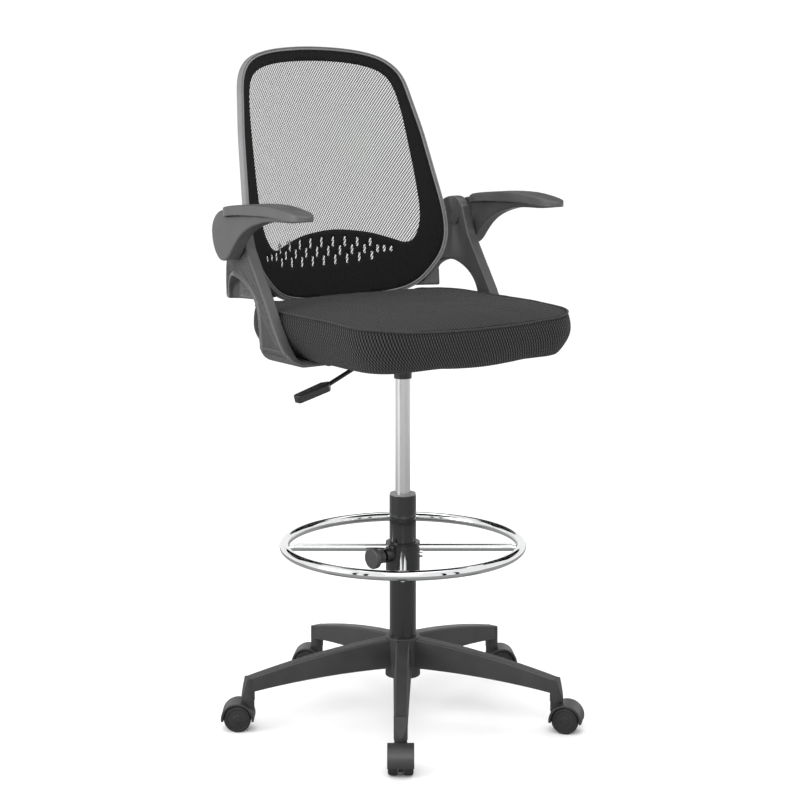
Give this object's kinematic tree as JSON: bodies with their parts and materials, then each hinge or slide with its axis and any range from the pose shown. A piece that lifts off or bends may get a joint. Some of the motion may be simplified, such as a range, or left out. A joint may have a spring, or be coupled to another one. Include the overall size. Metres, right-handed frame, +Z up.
{
  "type": "drafting chair",
  "caption": "Tall swivel drafting chair with a mesh back, padded seat, flip-up arms, adjustable foot ring and a five-star caster base.",
  "frame": {"origin": "on the floor, on the axis of the column", "axes": "+Z up, the seat and back face -Y, +X is the sitter's left"},
  "size_m": [0.6782, 0.647, 1.2483],
  "materials": {
    "base_nylon": "satin moulded",
    "column_black": "gloss black",
    "guide_plastic": "smooth",
    "bearing_steel": "ground",
    "spring_steel": "ground",
    "piston_plastic": "moulded",
    "rod_chrome": "hard chromed",
    "release_steel": "ground",
    "ring_chrome": "polished chrome",
    "collar_black": "black",
    "bush_plastic": "moulded",
    "clamp_rubber": "moulded",
    "screw_steel": "zinc plated",
    "screw_chrome": "plated",
    "knob_plastic": "moulded",
    "plate_painted": "satin black",
    "lever_painted": "satin black",
    "paddle_plastic": "moulded",
    "board_plywood": "moulded plywood",
    "seat_fabric": "black air mesh",
    "bracket_nylon": "glass-filled nylon",
    "arm_nylon": "moulded",
    "arm_pad_soft": "soft grained",
    "pivot_steel": "blackened",
    "frame_nylon": "satin moulded",
    "back_knit": "black knitted mesh",
    "bolt_black": "blackened steel",
    "caster_nylon": "moulded",
    "stem_steel": "bright",
    "wheel_nylon": "moulded"
  },
  "bodies": {
    "base": {"star_base": "base_nylon", "column_tube": "column_black", "column_guide": "guide_plastic", "thrust_bearing": "bearing_steel", "base_clip": "spring_steel"},
    "spindle": {"piston_rod": "bearing_steel", "piston": "piston_plastic"},
    "seat": {"gas_tube": "rod_chrome", "taper_socket": "plate_painted", "seat_plate": "plate_painted", "lever_pin": "spring_steel", "seat_board": "board_plywood", "seat_cushion": "seat_fabric", "arm_bracket_left": "bracket_nylon", "arm_bracket_right": "bracket_nylon", "arm_pivot_left": "pivot_steel", "arm_pivot_right": "pivot_steel", "back_frame": "frame_nylon", "back_mesh": "back_knit", "bolts": "bolt_black"},
    "release": {"release_pin": "release_steel"},
    "lever": {"height_lever": "lever_painted", "lever_paddle": "paddle_plastic"},
    "arm_left": {"armrest_left": "arm_nylon", "arm_pad_left": "arm_pad_soft"},
    "arm_right": {"armrest_right": "arm_nylon", "arm_pad_right": "arm_pad_soft"},
    "ring_slider": {"collar_bush": "bush_plastic"},
    "ring": {"ring_collar": "collar_black", "ring_spokes": "ring_chrome", "foot_ring": "ring_chrome", "spoke_screws": "screw_chrome"},
    "clamp": {"clamp_pad": "clamp_rubber"},
    "knob": {"clamp_screw": "screw_steel", "clamp_knob": "knob_plastic"},
    "caster_1": {"caster_1_housing": "caster_nylon", "caster_1_stem": "stem_steel", "caster_1_axle": "stem_steel"},
    "caster_1_wheel_a": {"caster_1_wheel_a": "wheel_nylon"},
    "caster_1_wheel_b": {"caster_1_wheel_b": "wheel_nylon"},
    "caster_2": {"caster_2_housing": "caster_nylon", "caster_2_stem": "stem_steel", "caster_2_axle": "stem_steel"},
    "caster_2_wheel_a": {"caster_2_wheel_a": "wheel_nylon"},
    "caster_2_wheel_b": {"caster_2_wheel_b": "wheel_nylon"},
    "caster_3": {"caster_3_housing": "caster_nylon", "caster_3_stem": "stem_steel", "caster_3_axle": "stem_steel"},
    "caster_3_wheel_a": {"caster_3_wheel_a": "wheel_nylon"},
    "caster_3_wheel_b": {"caster_3_wheel_b": "wheel_nylon"},
    "caster_4": {"caster_4_housing": "caster_nylon", "caster_4_stem": "stem_steel", "caster_4_axle": "stem_steel"},
    "caster_4_wheel_a": {"caster_4_wheel_a": "wheel_nylon"},
    "caster_4_wheel_b": {"caster_4_wheel_b": "wheel_nylon"},
    "caster_5": {"caster_5_housing": "caster_nylon", "caster_5_stem": "stem_steel", "caster_5_axle": "stem_steel"},
    "caster_5_wheel_a": {"caster_5_wheel_a": "wheel_nylon"},
    "caster_5_wheel_b": {"caster_5_wheel_b": "wheel_nylon"}
  },
  "joints": [
    {"name": "seat_swivel", "type": "hinge", "parent": "base", "child": "spindle", "pos_m": [0, 0, 0.09], "axis": [0, 0, 1], "continuous": true},
    {"name": "seat_height", "type": "slide", "parent": "spindle", "child": "seat", "axis": [0, 0, 1], "range_m": [-0.2, 0]},
    {"name": "release_slide", "type": "slide", "parent": "seat", "child": "release", "axis": [0, 0, -1], "range_m": [0, 0.005]},
    {"name": "lever_tilt", "type": "hinge", "parent": "seat", "child": "lever", "pos_m": [-0.034, 0, 0.687], "axis": [0, 1, 0], "range_deg": [0, 7], "stiffness_Nm_per_rad": 6, "springref_deg": -8.59},
    {"name": "arm_flip_left", "type": "hinge", "parent": "seat", "child": "arm_left", "pos_m": [0.276, 0.156, 0.919], "axis": [-1, 0, 0], "range_deg": [0, 90]},
    {"name": "arm_flip_right", "type": "hinge", "parent": "seat", "child": "arm_right", "pos_m": [-0.276, 0.156, 0.919], "axis": [-1, 0, 0], "range_deg": [0, 90]},
    {"name": "ring_height", "type": "slide", "parent": "base", "child": "ring_slider", "axis": [0, 0, 1], "range_m": [-0.1, 0.07]},
    {"name": "ring_turn", "type": "hinge", "parent": "ring_slider", "child": "ring", "pos_m": [0, 0, 0.3], "axis": [0, 0, 1], "continuous": true},
    {"name": "clamp_slide", "type": "slide", "parent": "ring", "child": "clamp", "axis": [0.9976, 0.0698, 0], "range_m": [0, 0.003]},
    {"name": "knob_turn", "type": "hinge", "parent": "clamp", "child": "knob", "pos_m": [-0.05985, -0.00419, 0.315], "axis": [-0.9976, -0.0698, 0], "range_deg": [-864, 0]},
    {"name": "caster_1_swivel", "type": "hinge", "parent": "base", "child": "caster_1", "pos_m": [-0.17929, -0.24053, 0.07], "axis": [0, 0, 1], "continuous": true},
    {"name": "caster_1_roll_a", "type": "hinge", "parent": "caster_1", "child": "caster_1_wheel_a", "pos_m": [-0.19046, -0.2559, 0.025], "axis": [0.809, -0.5878, 0], "continuous": true},
    {"name": "caster_1_roll_b", "type": "hinge", "parent": "caster_1", "child": "caster_1_wheel_b", "pos_m": [-0.19046, -0.2559, 0.025], "axis": [0.809, -0.5878, 0], "continuous": true},
    {"name": "caster_2_swivel", "type": "hinge", "parent": "base", "child": "caster_2", "pos_m": [0.17336, -0.24484, 0.07], "axis": [0, 0, 1], "continuous": true},
    {"name": "caster_2_roll_a", "type": "hinge", "parent": "caster_2", "child": "caster_2_wheel_a", "pos_m": [0.18582, -0.25918, 0.025], "axis": [0.7547, 0.6561, 0], "continuous": true},
    {"name": "caster_2_roll_b", "type": "hinge", "parent": "caster_2", "child": "caster_2_wheel_b", "pos_m": [0.18582, -0.25918, 0.025], "axis": [0.7547, 0.6561, 0], "continuous": true},
    {"name": "caster_3_swivel", "type": "hinge", "parent": "base", "child": "caster_3", "pos_m": [0.28643, 0.08921, 0.07], "axis": [0, 0, 1], "continuous": true},
    {"name": "caster_3_roll_a", "type": "hinge", "parent": "caster_3", "child": "caster_3_wheel_a", "pos_m": [0.30271, 0.07943, 0.025], "axis": [0.515, 0.8572, 0], "continuous": true},
    {"name": "caster_3_roll_b", "type": "hinge", "parent": "caster_3", "child": "caster_3_wheel_b", "pos_m": [0.30271, 0.07943, 0.025], "axis": [0.515, 0.8572, 0], "continuous": true},
    {"name": "caster_4_swivel", "type": "hinge", "parent": "base", "child": "caster_4", "pos_m": [0.00366, 0.29998, 0.07], "axis": [0, 0, 1], "continuous": true},
    {"name": "caster_4_roll_a", "type": "hinge", "parent": "caster_4", "child": "caster_4_wheel_a", "pos_m": [-0.01067, 0.31244, 0.025], "axis": [-0.6561, -0.7547, 0], "continuous": true},
    {"name": "caster_4_roll_b", "type": "hinge", "parent": "caster_4", "child": "caster_4_wheel_b", "pos_m": [-0.01067, 0.31244, 0.025], "axis": [-0.6561, -0.7547, 0], "continuous": true},
    {"name": "caster_5_swivel", "type": "hinge", "parent": "base", "child": "caster_5", "pos_m": [-0.28416, 0.09618, 0.07], "axis": [0, 0, 1], "continuous": true},
    {"name": "caster_5_roll_a", "type": "hinge", "parent": "caster_5", "child": "caster_5_wheel_a", "pos_m": [-0.29953, 0.10735, 0.025], "axis": [-0.5878, -0.809, 0], "continuous": true},
    {"name": "caster_5_roll_b", "type": "hinge", "parent": "caster_5", "child": "caster_5_wheel_b", "pos_m": [-0.29953, 0.10735, 0.025], "axis": [-0.5878, -0.809, 0], "continuous": true}
  ],
  "couplings": [
    {"joint": "release_slide", "follows": "lever_tilt", "m_per_rad": 0.038},
    {"joint": "clamp_slide", "follows": "knob_turn", "m_per_rad": -0.00019}
  ]
}
